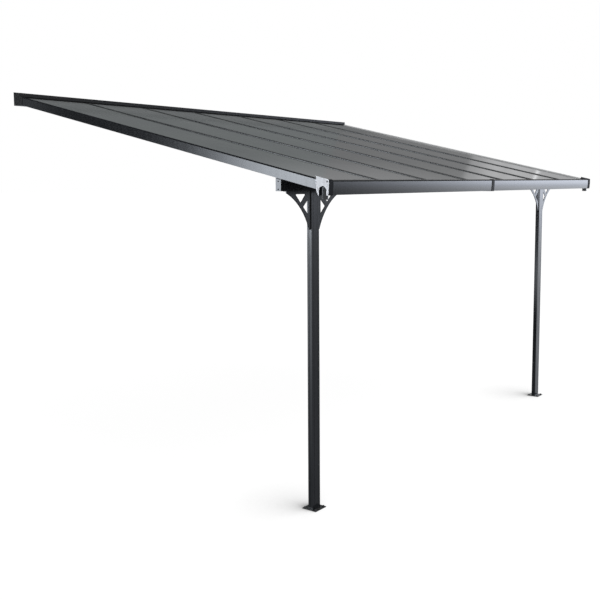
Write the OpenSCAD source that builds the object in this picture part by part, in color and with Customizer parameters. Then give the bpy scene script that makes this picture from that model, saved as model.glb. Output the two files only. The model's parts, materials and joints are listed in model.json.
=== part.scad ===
// A pergola that hangs on a wall at the back and stands on two posts at the front.
// X runs along the wall, Z is up, and the part reaches out from the wall towards -Y.
// The origin is the middle of the wall beam's flat back. Sizes are in millimetres.
// A side section is drawn as [distance from the wall, height], and along_x() stands it up.

/* [Overall] */
// Width along the wall, over the end caps
overall_w = 4250; // [3600:10:4400]
// Distance from the wall to the front of the gutter heads
reach = 2954; // [2400:2:3300]
// Height of the wall beam's middle over the ground
fixing_height = 2715; // [2500:1:3000]
// Slope of the roof, in degrees
roof_pitch = 12.5; // [9:0.5:14]

/* [Wall beam] */
// Height of the flat back plate
wall_plate_h = 100; // [90:1:150]
// How far the beam stands out from the wall
wall_beam_d = 75; // [60:1:110]
// How far the back plate rises over the hood
upstand = 8; // [2:1:20]
// Thickness of the beam's walls
wall_beam_t = 2; // [1.5:0.1:3]
// Thickness of the ledge's front lip
ledge_lip = 2.4; // [2:0.1:5]
// Depth of the closed chamber in the ledge
ledge_chamber = 45; // [20:1:52]
// Radius of a fixing hole
fixing_r = 4.5; // [3:0.5:6]
// How far an end cap runs out along the side beam
cap_nose = 30; // [10:1:60]
// Thickness of an end cap
end_cap_t = 4; // [2:0.5:8]

/* [Roof] */
// Thickness of a roof panel
panel_t = 6; // [4:1:16]
// How far a panel runs over the gutter's back wall
panel_overhang = 22; // [8:1:40]
// Height of a rafter's box, square to the roof
rafter_h = 46; // [30:1:60]
// Width of a rafter
rafter_w = 26; // [20:1:50]
// Thickness of the walls of a rafter or side beam
rafter_t = 1.8; // [1.2:0.1:3]
// Width of the rib between two panels
rib_w = 6; // [3:0.5:10]
// Width of a side beam
side_beam_w = 24; // [20:1:50]
// How far a side beam's fin rises over its box
fin_h = 8; // [6:1:16]
// Height of the dark trim over the fin
trim_h = 8; // [4:1:14]
// Width of a capping strip
cap_w = 34; // [24:1:50]
// Height of a capping strip
cap_h = 6; // [4:1:12]
// Thickness of a capping strip's walls
cap_t = 1.6; // [1:0.1:2]
// Room beside a panel's edge
panel_play = 1; // [0.5:0.1:3]

/* [Gutter] */
// Depth of a gutter head, from the rafters' ends to its front
head_d = 90; // [70:1:140]
// Height of the gutter at its front
gutter_h = 87; // [70:1:130]
// How far the gutter's floor lies under the rafters' underside
gutter_drop = 34; // [20:1:60]
// Thickness of the gutter's walls
gutter_t = 2; // [1.5:0.1:3]
// Radius of the gutter's rounded front edge
gutter_edge_r = 14; // [6:1:22]
// How far the gutter's curved front draws in towards its floor
gutter_belly = 5; // [3:1:16]
// Size of the slanted corner at the foot of its back wall
gutter_chamfer = 6; // [4:1:12]
// Width of the rolled lip inside that edge
gutter_lip = 8; // [3:1:14]
// Thickness of the band round the outside of the gutter
band_t = 2.5; // [1.5:0.1:5]
// Width of the joining band in the middle
joiner_w = 40; // [16:1:60]
// Length of a gutter head along the gutter
head_len = 46; // [44:1:80]
// How far the gutter reaches into its head
head_lap = 12; // [5:1:20]
// How far an end plate rises over the side beam's box, square to the roof
head_rise = 27; // [20:1:50]
// Size of the cut corner at the top of an end plate's front
head_corner = 4; // [2:0.5:10]
// Width of the slanted cut at the foot of an end plate's back edge
plate_cut_w = 14; // [6:1:16]
// Height of that cut
plate_cut_h = 28; // [12:1:40]
// Outer radius of the spout
spout_r = 20; // [14:0.5:21]
// Thickness of the spout's wall
spout_t = 2.5; // [1.5:0.1:4]
// Width of the ledge inside the spout where a pipe stops
spout_ledge = 2; // [1:0.5:4]
// Distance from an end plate's outer face to the spout's wall
spout_inset = 5; // [4.5:0.5:5.5]
// How far the spout reaches under the gutter head
spout_drop = 24; // [10:1:60]
// Width of the arched recess round the spout
arch_w = 52; // [50:1:58]
// Height of the arched recess
arch_h = 54; // [45:1:60]
// Depth of the arched recess
niche_d = 15; // [10:0.5:17]
// Room over the half pipe that stands in the recess
niche_headroom = 8; // [4:1:12]

/* [Front beam] */
// Distance from the rafters' ends back to the posts' middle
post_setback = 279; // [120:1:900]
// Height of the front beam, at its middle
front_beam_h = 76; // [60:1:120]
// Thickness of the front beam from front to back
front_beam_d = 40; // [34:1:60]
// Thickness of the front beam's walls
front_beam_t = 2; // [1.5:0.1:3]
// Gap between a side beam and the front beam's end plate
end_plate_gap = 5; // [0:0.5:10]

/* [Posts] */
// Distance from the roof's side to a post's middle
post_inset = 338; // [280:1:900]
// Width of a post along the wall
post_w = 78; // [50:1:100]
// Depth of a post
post_d = 36; // [28:1:60]
// Thickness of a post's walls
post_t = 2; // [1.5:0.1:3]
// Width of the channel in each side of a post
channel_w = 10; // [6:1:14]
// Depth of that channel
channel_d = 2.5; // [1:0.1:4]
// Width of a groove in a post's front and back
groove_w = 3; // [1.5:0.1:6]
// Depth of that groove
groove_d = 1.2; // [0.5:0.1:2]

/* [Corner brackets] */
// Reach of a bracket along the beam
bracket_w = 236; // [160:1:260]
// Reach of a bracket down the post
bracket_h = 240; // [160:1:300]
// Thickness of a bracket's web
bracket_t = 6; // [4:0.5:12]
// Width of the flange that lies on the beam and the post
bracket_flange_w = 24; // [14:1:28]
// Thickness of that flange
bracket_flange_t = 3; // [2:0.5:6]
// Width of a bracket's arm under the beam
bracket_top_arm = 20; // [12:1:30]
// Width of a bracket's arm along the post
bracket_side_arm = 25; // [12:1:34]
// Distance from the line between the tips in to the pierced windows
bracket_brow = 56; // [50:1:66]
// Height of the blunt tips
bracket_tip = 12; // [6:1:20]
// How far the arc bows in from the line between the tips
bracket_bow = 33; // [20:1:45]
// Width of the strut across the bracket, where it meets the arc
bracket_strut = 33; // [16:1:40]
// How much wider the strut is in the corner
bracket_spread = 9; // [0:1:16]
// Radius of the windows' rounded corners
bracket_fillet = 4; // [1:0.5:6]

/* [Feet] */
// Side of the square foot plate
foot_w = 110; // [100:1:180]
// Thickness of the foot plate
foot_t = 5; // [3:0.5:12]
// Height of the tongue inside the post
tongue_h = 60; // [30:1:120]
// Distance between neighbouring screw holes
foot_hole_pitch = 84; // [80:1:150]
// Radius of a screw hole
foot_hole_r = 4.5; // [3:0.5:6]

/* [Hidden] */

// Number of panels side by side
panel_count = 7;
// Faces of every round wall and hole
$fn = 48;
// Steps in a rounded corner of an extrusion
corner_steps = 6;
// Steps in the gutter's curved front
front_steps = 8;
// Steps in a bracket's arc
arc_steps = 24;
// Fit between a tongue and the post round it
fit = 0.3;
// How far a cutting shape runs past what it cuts
over = 1;
// Half the gap where the two gutter lengths meet
gutter_half_gap = 0.5;

dark = [0.17, 0.18, 0.19];
black = [0.09, 0.09, 0.1];
frame_grey = [0.27, 0.28, 0.3];
panel_grey = [0.43, 0.44, 0.44];
light_grey = [0.8, 0.82, 0.86];

// Half the width between the end caps, where the side beams' outer faces lie
side_x = overall_w / 2 - end_cap_t;
ground_z = -fixing_height;
module_w = 2 * side_x / panel_count;

// The rafters' underside would meet the wall at this height
roof_z = -wall_plate_h / 2 + ledge_lip + wall_beam_d * tan(roof_pitch);
panel_top = rafter_h + panel_t;
trim_top = rafter_h + fin_h + trim_h;
head_top = rafter_h + head_rise;

// Top of the wall beam's hood, which always clears the side trims under it
hood_n = trim_top + fit;
hood_top = max(wall_plate_h / 2 - upstand, roof(wall_beam_t, hood_n) + 3 * wall_beam_t);

gutter_back = reach - head_d;
gutter_front = reach - band_t;
gutter_z = roof(gutter_back, 0) - gutter_drop;
gutter_top = gutter_z + gutter_h;

// Underside of the heads, middle of the spouts' depth and the back of the arched recess
head_floor = gutter_z - band_t;
spout_line = gutter_back + head_d / 2;
niche_x = -overall_w / 2 + niche_d;

post_line = gutter_back - post_setback;
post_x = overall_w / 2 - post_inset;
beam_z = roof(post_line, 0) - front_beam_h;
beam_back = post_line - front_beam_d / 2;
beam_front = post_line + front_beam_d / 2;

// Height of a plane that lies n over the rafters' underside, at distance d from the wall
function roof(d, n) = roof_z - d * tan(roof_pitch) + n / cos(roof_pitch);

// Points of an arc round [x, y], from angle a to angle b
function arc(x, y, r, a, b, steps) =
    [for (k = [0 : steps]) let (w = a + (b - a) * k / steps) [x + r * cos(w), y + r * sin(w)]];

// X of rafter number i, counted from the left
function rafter_x(i) = -side_x + i * module_w;

// Runs a side section along X
module along_x(from, to) {
    translate([from, 0, 0])
        rotate([90, 0, 90])
            linear_extrude(to - from)
                mirror([1, 0])
                    children();
}

// Runs a cross-section, drawn as [x, height over the rafters' underside], down the slope.
// Both ends are cut upright, at the distances d0 and d1 from the wall.
module down_slope(d0, d1) {
    run = (d1 - d0) / cos(roof_pitch);
    slack = head_top;
    intersection() {
        translate([0, -d0, roof(d0, 0)])
            rotate([roof_pitch, 0, 0])
                rotate([90, 0, 0])
                    translate([0, 0, -slack])
                        linear_extrude(run + 2 * slack)
                            children();
        translate([-overall_w / 2, -d1, roof(d1, 0) - slack])
            cube([overall_w, d1 - d0, roof(d0, 0) - roof(d1, 0) + 3 * slack]);
    }
}

module mirrored(side) {
    if (side > 0)
        mirror([1, 0, 0])
            children();
    else
        children();
}

// Wall beam

module wall_beam_section() {
    half = wall_plate_h / 2;
    t = wall_beam_t;
    difference() {
        polygon([[0, -half], [wall_beam_d, -half], [wall_beam_d, roof(wall_beam_d, 0)],
                 [t, roof(t, 0)], [t, roof(t, hood_n)],
                 [wall_beam_d, roof(wall_beam_d, hood_n)], [wall_beam_d, hood_top],
                 [t, hood_top], [t, half], [0, half]]);
        polygon([[t, hood_top - t], [wall_beam_d - t, hood_top - t],
                 [wall_beam_d - t, roof(wall_beam_d - t, hood_n + t)], [t, roof(t, hood_n + t)]]);
        polygon([[t, -half + t], [ledge_chamber, -half + t],
                 [ledge_chamber, roof(ledge_chamber, -t)], [t, roof(t, -t)]]);
    }
}

module wall_beam() {
    hole_z = roof(0, rafter_h / 2);
    color(black)
        difference() {
            along_x(-side_x, side_x)
                wall_beam_section();
            for (i = [0 : panel_count - 1])
                translate([rafter_x(i + 0.5), over, hole_z])
                    rotate([90, 0, 0])
                        cylinder(h = wall_beam_t + 2 * over, r = fixing_r);
        }
}

// Covers the beam's end, and runs on to where the side beam's underside comes out below it
module wall_cap(side) {
    half = wall_plate_h / 2;
    nose = wall_beam_d + cap_nose;
    color(black)
        mirrored(side)
            along_x(-overall_w / 2, -side_x)
                polygon([[0, -half], [nose, roof(nose, 0)], [nose, roof(nose, trim_top)],
                         [wall_beam_d, roof(wall_beam_d, trim_top)],
                         [wall_beam_d, hood_top], [wall_beam_t, hood_top],
                         [wall_beam_t, half], [0, half]]);
}

// Roof

module side_beam_section() {
    t = rafter_t;
    difference() {
        union() {
            square([side_beam_w, rafter_h]);
            square([t, rafter_h + fin_h]);
        }
        translate([t, t])
            square([side_beam_w - 2 * t, rafter_h - 2 * t]);
    }
}

module side_beam(side) {
    color(frame_grey)
        mirrored(side)
            down_slope(wall_beam_t, gutter_back)
                translate([-side_x, 0])
                    side_beam_section();
}

module side_trim_section() {
    fin_top = rafter_h + fin_h;
    polygon([[0, fin_top], [rafter_t + fit, fin_top], [rafter_t + fit, panel_top],
             [side_beam_w, panel_top], [side_beam_w, panel_top + rafter_t],
             [side_beam_w / 3, trim_top], [0, trim_top]]);
}

module side_trim(side) {
    color(black)
        mirrored(side)
            down_slope(wall_beam_t, gutter_back)
                translate([-side_x, 0])
                    side_trim_section();
}

module rafter_section() {
    t = rafter_t;
    translate([-rafter_w / 2, 0])
        difference() {
            square([rafter_w, rafter_h]);
            translate([t, t])
                square([rafter_w - 2 * t, rafter_h - 2 * t]);
        }
    translate([-rib_w / 2, rafter_h - t])
        square([rib_w, t + panel_t + cap_h - cap_t - fit]);
}

module rafter(i) {
    color(frame_grey)
        down_slope(wall_beam_t, gutter_back)
            translate([rafter_x(i), 0])
                rafter_section();
}

// A capping strip's outline, its walls moved inwards by t
module cap_outline(t) {
    edge = cap_w / 2 - t;
    crown = cap_w / 3 - t / 2;
    polygon([[-edge, -over], [edge, -over], [edge, cap_h / 3 - t / 2], [crown, cap_h - t],
             [-crown, cap_h - t], [-edge, cap_h / 3 - t / 2]]);
}

// A thin cover: two feet press on the panels and the rafter's rib reaches up inside it
module rafter_cap(i) {
    color(black)
        down_slope(wall_beam_t, gutter_back + panel_overhang)
            translate([rafter_x(i), panel_top])
                difference() {
                    cap_outline(0);
                    cap_outline(cap_t);
                    translate([-cap_w, -cap_h])
                        square([2 * cap_w, cap_h]);
                }
}

module roof_panel(i) {
    left = i == 1 ? rafter_t : rib_w / 2;
    right = i == panel_count ? rafter_t : rib_w / 2;
    from = rafter_x(i - 1) + left + panel_play;
    to = rafter_x(i) - right - panel_play;
    color(panel_grey)
        down_slope(wall_beam_t + fixing_r, gutter_back + panel_overhang)
            translate([from, rafter_h])
                square([to - from, panel_t]);
}

// Gutter

// The gutter's outline, moved inwards by t, closed straight across the top. Its front is one
// long arc, upright under the rounded edge and drawn in towards the floor.
function gutter_outline(t) =
    let (b = gutter_back + max(t, 0), f = gutter_front - t, z = gutter_z + t, top = gutter_top - t,
         r = gutter_edge_r - t, rise = top - r - z, long_r = (rise * rise / gutter_belly + gutter_belly) / 2)
    concat(
        [[b, top], [b, z + gutter_chamfer], [b + gutter_chamfer, z]],
        arc(f - long_r, top - r, long_r, -asin(rise / long_r), 0, front_steps),
        arc(f - r, top - r, r, 0, 90, corner_steps));

// What lies over the back wall and inside the rolled lip, and is open
module gutter_mouth(t) {
    lip_end = gutter_front - gutter_edge_r - gutter_lip;
    back_top = roof(gutter_back + gutter_t, rafter_h) - fit;
    translate([gutter_back + t, gutter_z + gutter_h / 2])
        square([lip_end - gutter_back - t, gutter_h]);
    translate([gutter_back - over, back_top])
        square([lip_end - gutter_back + over, gutter_h]);
}

module gutter_section() {
    difference() {
        polygon(gutter_outline(0));
        polygon(gutter_outline(gutter_t));
        gutter_mouth(gutter_t);
    }
}

// A band that hugs the outside of the gutter
module band_section() {
    difference() {
        polygon(gutter_outline(-band_t));
        polygon(gutter_outline(0));
        gutter_mouth(0);
    }
}

module gutter_half(side) {
    color(dark)
        mirrored(side)
            along_x(-overall_w / 2 + head_len - head_lap, -gutter_half_gap)
                gutter_section();
}

module gutter_joiner() {
    color(black)
        along_x(-joiner_w / 2, joiner_w / 2)
            band_section();
}

// The arched recess over the spout, its walls moved outwards by grow
module arch_shape(grow) {
    r = arch_w / 2 + grow;
    rise = arch_h - arch_w / 2;
    translate([spout_line, head_floor + rise])
        circle(r);
    translate([spout_line - r, head_floor - over])
        square([2 * r, rise + over]);
}

// The plate that closes the roof's corner, with its top parallel to the roof
module gutter_plate(side) {
    middle_z = gutter_z + gutter_h / 2;
    color(light_grey)
        mirrored(side)
            along_x(-overall_w / 2, -side_x)
                difference() {
                    union() {
                        polygon(gutter_outline(-band_t));
                        polygon([[gutter_back, middle_z], [reach, middle_z],
                                 [reach, roof(reach, head_top) - head_corner],
                                 [reach - head_corner, roof(reach - head_corner, head_top)],
                                 [gutter_back, roof(gutter_back, head_top)]]);
                    }
                    arch_shape(0);
                    polygon([[gutter_back - over, head_floor - over],
                             [gutter_back + plate_cut_w, head_floor - over],
                             [gutter_back + plate_cut_w, head_floor],
                             [gutter_back, head_floor + plate_cut_h],
                             [gutter_back - over, head_floor + plate_cut_h]]);
                }
}

// The part of the recess that lies behind the plate: a round wall and an upright back
module niche_wall() {
    along_x(-side_x, niche_x)
        intersection() {
            difference() {
                arch_shape(spout_t);
                arch_shape(0);
            }
            polygon(gutter_outline(-band_t));
        }
    along_x(niche_x, niche_x + spout_t)
        intersection() {
            arch_shape(spout_t);
            polygon(gutter_outline(-band_t));
        }
}

// A moulded band that the gutter's end lies in. Its spout rises in the recess as a half pipe,
// and is open to the gutter behind the recess, where the water runs in.
module gutter_head(side) {
    spout_x = -overall_w / 2 + spout_inset + spout_r;
    pipe_top = head_floor + arch_h - niche_headroom;
    bore_r = spout_r - spout_t;
    color(black)
        mirrored(side)
            difference() {
                union() {
                    difference() {
                        along_x(-side_x, -overall_w / 2 + head_len)
                            band_section();
                        along_x(-side_x - over, niche_x)
                            arch_shape(0);
                    }
                    niche_wall();
                    translate([spout_x, -spout_line, head_floor - spout_drop])
                        cylinder(h = spout_drop + band_t, r = spout_r);
                    intersection() {
                        translate([spout_x, -spout_line, head_floor])
                            cylinder(h = pipe_top - head_floor, r = spout_r);
                        along_x(-side_x, niche_x + spout_t)
                            arch_shape(0);
                    }
                }
                translate([spout_x, -spout_line, head_floor - spout_drop - over])
                    cylinder(h = over + spout_drop + band_t, r = bore_r);
                translate([spout_x, -spout_line, head_floor])
                    cylinder(h = pipe_top - spout_t - head_floor, r = bore_r - spout_ledge);
            }
}

// Front beam

module front_beam_section() {
    t = front_beam_t;
    difference() {
        polygon([[beam_back, beam_z], [beam_front, beam_z],
                 [beam_front, roof(beam_front, 0)], [beam_back, roof(beam_back, 0)]]);
        polygon([[beam_back + t, beam_z + t], [beam_front - t, beam_z + t],
                 [beam_front - t, roof(beam_front - t, -t)], [beam_back + t, roof(beam_back + t, -t)]]);
    }
}

module front_beam() {
    color(black)
        along_x(-side_x, side_x)
            front_beam_section();
}

module beam_plate(side) {
    color(frame_grey)
        mirrored(side)
            along_x(-overall_w / 2, -side_x)
                polygon([[beam_back, beam_z], [beam_front, beam_z],
                         [beam_front, roof(beam_front, 0) - end_plate_gap],
                         [beam_back, roof(beam_back, 0) - end_plate_gap]]);
}

// Posts and feet

// The channels in a post's sides and the grooves in its front and back, grown by t all round
module post_grooves(t) {
    for (s = [-1, 1]) {
        translate([s * post_w / 2, 0])
            square([2 * (channel_d + t), channel_w + 2 * t], center = true);
        for (k = [-1, 1])
            translate([k * post_w / 4, s * post_d / 2])
                square([groove_w + 2 * t, 2 * (groove_d + t)], center = true);
    }
}

module post_section() {
    difference() {
        square([post_w, post_d], center = true);
        post_grooves(0);
        difference() {
            square([post_w - 2 * post_t, post_d - 2 * post_t], center = true);
            post_grooves(post_t);
        }
    }
}

module post(side) {
    foot_top = ground_z + foot_t;
    color(frame_grey)
        translate([side * post_x, -post_line, foot_top])
            linear_extrude(beam_z - foot_top)
                post_section();
}

module foot_plate(side) {
    tongue_w = post_w - 2 * (channel_d + post_t + fit);
    tongue_d = post_d - 2 * (groove_d + post_t + fit);
    wall = 2 * post_t;
    color(frame_grey)
        translate([side * post_x, -post_line, ground_z])
            difference() {
                union() {
                    translate([-foot_w / 2, -foot_w / 2, 0])
                        cube([foot_w, foot_w, foot_t]);
                    translate([-tongue_w / 2, -tongue_d / 2, 0])
                        cube([tongue_w, tongue_d, tongue_h]);
                }
                translate([wall - tongue_w / 2, wall - tongue_d / 2, foot_t])
                    cube([tongue_w - 2 * wall, tongue_d - 2 * wall, tongue_h]);
                for (x = [-1, 1])
                    for (y = [-1, 1])
                        translate([x * foot_hole_pitch / 2, y * foot_hole_pitch / 2, -over])
                            cylinder(h = foot_t + 2 * over, r = foot_hole_r);
            }
}

// Corner brackets

// A bracket is drawn with its inner corner at [0, 0], reaching to +X along the beam
// and to -Y down the post. Its open edge is an arc between the two blunt tips.
function bracket_edge() =
    let (p = [bracket_w, -bracket_tip], q = [bracket_tip, -bracket_h],
         chord = norm(p - q), r = (chord * chord / 4 + bracket_bow * bracket_bow) / (2 * bracket_bow),
         out = [p[1] - q[1], q[0] - p[0]] / chord,
         mid = (p + q) / 2, centre = mid + out * (r - bracket_bow),
         a = atan2(p[1] - centre[1], p[0] - centre[0]),
         b = atan2(q[1] - centre[1], q[0] - centre[0]))
    arc(centre[0], centre[1], r, a, b, arc_steps);

module bracket_outline() {
    polygon(concat([[0, 0], [bracket_w, 0]], bracket_edge(), [[0, -bracket_h]]));
}

// The windows lie between the two arms and a straight line that runs beside the one through
// the tips, and the strut parts them
module bracket_windows() {
    run = bracket_w - bracket_tip;
    drop = bracket_h - bracket_tip;
    slant = norm([run, drop]);
    // Where the windows' straight side would meet the beam and the post
    at_beam = bracket_w + bracket_tip * run / drop - bracket_brow * slant / drop;
    at_post = bracket_h + bracket_tip * drop / run - bracket_brow * slant / run;
    wide = bracket_strut + bracket_spread;
    difference() {
        polygon([[bracket_side_arm, -bracket_top_arm],
                 [at_beam - bracket_top_arm * run / drop, -bracket_top_arm],
                 [bracket_side_arm, -(at_post - bracket_side_arm * drop / run)]]);
        rotate(-45)
            polygon([[0, -wide / 2], [bracket_w, -bracket_strut / 2 + bracket_spread / 2],
                     [bracket_w, bracket_strut / 2 - bracket_spread / 2], [0, wide / 2]]);
    }
}

module bracket_web() {
    difference() {
        bracket_outline();
        offset(r = bracket_fillet)
            offset(delta = -bracket_fillet)
                bracket_windows();
    }
}

module bracket(side, inner) {
    web_y = -(post_line + (post_d - bracket_flange_w) / 2 + bracket_t / 2);
    color(dark)
        translate([side * (post_x - inner * post_w / 2), 0, beam_z])
            mirror([side * inner > 0 ? 1 : 0, 0, 0]) {
                translate([0, web_y + bracket_t / 2, 0])
                    rotate([90, 0, 0])
                        linear_extrude(bracket_t)
                            bracket_web();
                translate([0, -post_line - bracket_flange_w / 2, -bracket_flange_t])
                    cube([bracket_w, bracket_flange_w, bracket_flange_t]);
                translate([0, -post_line - bracket_flange_w / 2, -bracket_h])
                    cube([bracket_flange_t, bracket_flange_w, bracket_h]);
            }
}

wall_beam();
wall_cap(-1);  // wall_cap_left
wall_cap(1);  // wall_cap_right
side_beam(-1);  // side_beam_left
side_beam(1);  // side_beam_right
side_trim(-1);  // side_trim_left
side_trim(1);  // side_trim_right
rafter(1);  // rafter_1
rafter(2);  // rafter_2
rafter(3);  // rafter_3
rafter(4);  // rafter_4
rafter(5);  // rafter_5
rafter(6);  // rafter_6
rafter_cap(1);  // rafter_cap_1
rafter_cap(2);  // rafter_cap_2
rafter_cap(3);  // rafter_cap_3
rafter_cap(4);  // rafter_cap_4
rafter_cap(5);  // rafter_cap_5
rafter_cap(6);  // rafter_cap_6
roof_panel(1);  // roof_panel_1
roof_panel(2);  // roof_panel_2
roof_panel(3);  // roof_panel_3
roof_panel(4);  // roof_panel_4
roof_panel(5);  // roof_panel_5
roof_panel(6);  // roof_panel_6
roof_panel(7);  // roof_panel_7
gutter_half(-1);  // gutter_left
gutter_half(1);  // gutter_right
gutter_joiner();
gutter_head(-1);  // gutter_head_left
gutter_head(1);  // gutter_head_right
gutter_plate(-1);  // gutter_plate_left
gutter_plate(1);  // gutter_plate_right
front_beam();
beam_plate(-1);  // beam_plate_left
beam_plate(1);  // beam_plate_right
post(-1);  // post_left
post(1);  // post_right
bracket(-1, -1);  // bracket_left_outer
bracket(-1, 1);  // bracket_left_inner
bracket(1, 1);  // bracket_right_inner
bracket(1, -1);  // bracket_right_outer
foot_plate(-1);  // foot_plate_left
foot_plate(1);  // foot_plate_right
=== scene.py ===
"""The looks of a pergola that hangs on a wall at the back and stands on two posts at the front."""

import json
from math import atan2, cos, pi, radians, sin, tan

import bpy
import numpy as np
from mathutils import Matrix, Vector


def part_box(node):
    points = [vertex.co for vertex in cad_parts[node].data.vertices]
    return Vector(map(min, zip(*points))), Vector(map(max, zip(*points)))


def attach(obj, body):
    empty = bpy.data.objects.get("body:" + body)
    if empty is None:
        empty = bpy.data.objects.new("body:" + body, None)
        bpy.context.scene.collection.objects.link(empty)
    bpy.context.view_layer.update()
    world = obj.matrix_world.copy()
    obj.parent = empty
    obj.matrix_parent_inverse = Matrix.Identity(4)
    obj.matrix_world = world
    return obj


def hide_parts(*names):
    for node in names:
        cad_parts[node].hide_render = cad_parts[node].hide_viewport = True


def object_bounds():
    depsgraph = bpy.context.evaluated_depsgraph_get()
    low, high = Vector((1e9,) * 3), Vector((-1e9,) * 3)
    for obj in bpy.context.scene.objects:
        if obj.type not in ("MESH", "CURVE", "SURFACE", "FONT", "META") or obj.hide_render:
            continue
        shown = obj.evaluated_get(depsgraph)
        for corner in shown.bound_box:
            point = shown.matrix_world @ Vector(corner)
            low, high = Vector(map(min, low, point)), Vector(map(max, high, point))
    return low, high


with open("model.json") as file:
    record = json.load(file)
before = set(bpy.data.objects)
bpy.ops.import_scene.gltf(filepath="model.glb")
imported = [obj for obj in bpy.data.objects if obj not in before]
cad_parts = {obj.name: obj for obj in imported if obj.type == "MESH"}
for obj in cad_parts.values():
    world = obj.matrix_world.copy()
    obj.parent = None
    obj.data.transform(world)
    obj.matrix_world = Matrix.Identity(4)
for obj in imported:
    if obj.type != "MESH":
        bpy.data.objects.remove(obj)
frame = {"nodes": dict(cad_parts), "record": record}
cad_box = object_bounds()
MM = 0.001

# Sizes that the frame's boxes don't give
ROOF_SLOPE = radians(12.5)
PANEL_T = 6 * MM
GUTTER_WALL = 2 * MM
GUTTER_EDGE_R = 14 * MM
GUTTER_BELLY = 5 * MM
GUTTER_CHAMFER = 6 * MM
GUTTER_LIP = 8 * MM
# How far the gutter's back wall ends under its rolled edge
BACK_WALL_DROP = 6.6 * MM
RAFTER_H = 46 * MM
CAP_WIDTH = 34 * MM
CAP_HEIGHT = 6 * MM
CAP_WALL = 1.6 * MM
# How far the panels and their capping strips run past the rafters' ends
OVERHANG = 22 * MM
# Farther from the spout's axis than its pipe, nearer than the arch
SPOUT_REACH = 21 * MM
# How much thinner a sheet plate is than its node, which leaves room for its screws' heads
SHEET_INSET = 2 * MM


def box(node):
    """Lowest and highest corner of a node, as two arrays."""
    low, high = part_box(node)
    return np.array(low), np.array(high)


# Meshes


def mesh_piece(name, verts, faces, crease=35):
    """A mesh object from an array of points and a list of faces, smooth up to the crease angle."""
    mesh = bpy.data.meshes.new(name)
    mesh.from_pydata(np.asarray(verts).tolist(), [], [list(f) for f in faces])
    mesh.update()
    mesh.shade_smooth()
    mesh.set_sharp_from_angle(angle=radians(crease))
    piece = bpy.data.objects.new(name, mesh)
    bpy.context.scene.collection.objects.link(piece)
    return piece


def arc(centre, radius, start, end, steps):
    """Points centre + radius * (cos a, sin a) for angles a from start to end, in degrees."""
    a = np.radians(np.linspace(start, end, steps + 1))
    return np.column_stack([centre[0] + radius * np.cos(a), centre[1] + radius * np.sin(a)])


def run_outline(outline, stations, place):
    """A closed outline carried along a path.

    Point i of the outline at station j is place(outline[i], stations[j]). The rings are joined by
    quads, and the outline itself closes both ends. Returns the points and the faces.
    """
    n = len(outline)
    rings = np.concatenate([place(outline, s) for s in stations])
    i = np.arange(n)
    quads = []
    for j in range(len(stations) - 1):
        low, high = j * n, (j + 1) * n
        quads.append(np.column_stack([low + i, low + (i + 1) % n, high + (i + 1) % n, high + i]))
    faces = np.concatenate(quads).tolist()
    faces.append((i[::-1]).tolist())
    faces.append(((len(stations) - 1) * n + i).tolist())
    return rings, faces


def along_x(outline, x):
    """Stands an outline of (distance from the wall, height) at x."""
    return np.column_stack([np.full(len(outline), x), -outline[:, 0], outline[:, 1]])


def turn_from_axis(profile, segments):
    """A round form: (radius, height) points turned about Z, x = r cos a, y = r sin a, z = h."""
    a = np.linspace(0, 2 * pi, segments, endpoint=False)
    r, h = profile[:, 0, None], profile[:, 1, None]
    pts = np.stack([r * np.cos(a), r * np.sin(a), h + 0 * a], axis=-1).reshape(-1, 3)
    i = np.arange(segments)
    faces = []
    for k in range(len(profile) - 1):
        low, high = k * segments, (k + 1) * segments
        faces += np.column_stack([low + i, low + (i + 1) % segments, high + (i + 1) % segments,
                                  high + i]).tolist()
    faces.append((i[::-1]).tolist())
    faces.append(((len(profile) - 1) * segments + i).tolist())
    return pts, faces


def scatter_form(form, places):
    """One mesh from copies of a form. Each place is (origin, X axis, Y axis, Z axis)."""
    pts, faces = form
    all_pts, all_faces = [], []
    for k, (origin, *axes) in enumerate(places):
        all_pts.append(np.asarray(origin) + pts @ np.asarray(axes, float))
        all_faces += [[v + k * len(pts) for v in f] for f in faces]
    return np.concatenate(all_pts), all_faces


def facing(origin, normal, turn=0.0):
    """A place for a form whose own Z axis points along normal, turned about it by an angle."""
    z = np.asarray(normal, float)
    side = np.array([0, 0, 1.0]) if abs(z[2]) < 0.9 else np.array([1.0, 0, 0])
    x = np.cross(side, z)
    x /= np.linalg.norm(x)
    y = np.cross(z, x)
    return origin, x * cos(turn) + y * sin(turn), y * cos(turn) - x * sin(turn), z


def node_mesh(node):
    """A node's points, with those that coincide merged, and its triangles."""
    mesh = frame["nodes"][node].data
    pts = np.empty(len(mesh.vertices) * 3)
    mesh.vertices.foreach_get("co", pts)
    corners = np.empty(len(mesh.loops), int)
    mesh.loops.foreach_get("vertex_index", corners)
    pts, merged = np.unique(np.round(pts.reshape(-1, 3), 6), axis=0, return_inverse=True)
    faces = merged.ravel()[corners].reshape(-1, 3)
    a, b, c = faces.T
    return pts, faces[(a != b) & (b != c) & (c != a)]


def add_piece(piece, slot, *nodes):
    """Fixes a piece to the frame and hides the nodes that it stands for."""
    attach(piece, "root")
    if nodes:
        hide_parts(*nodes)
    return piece


# Finishes


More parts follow.
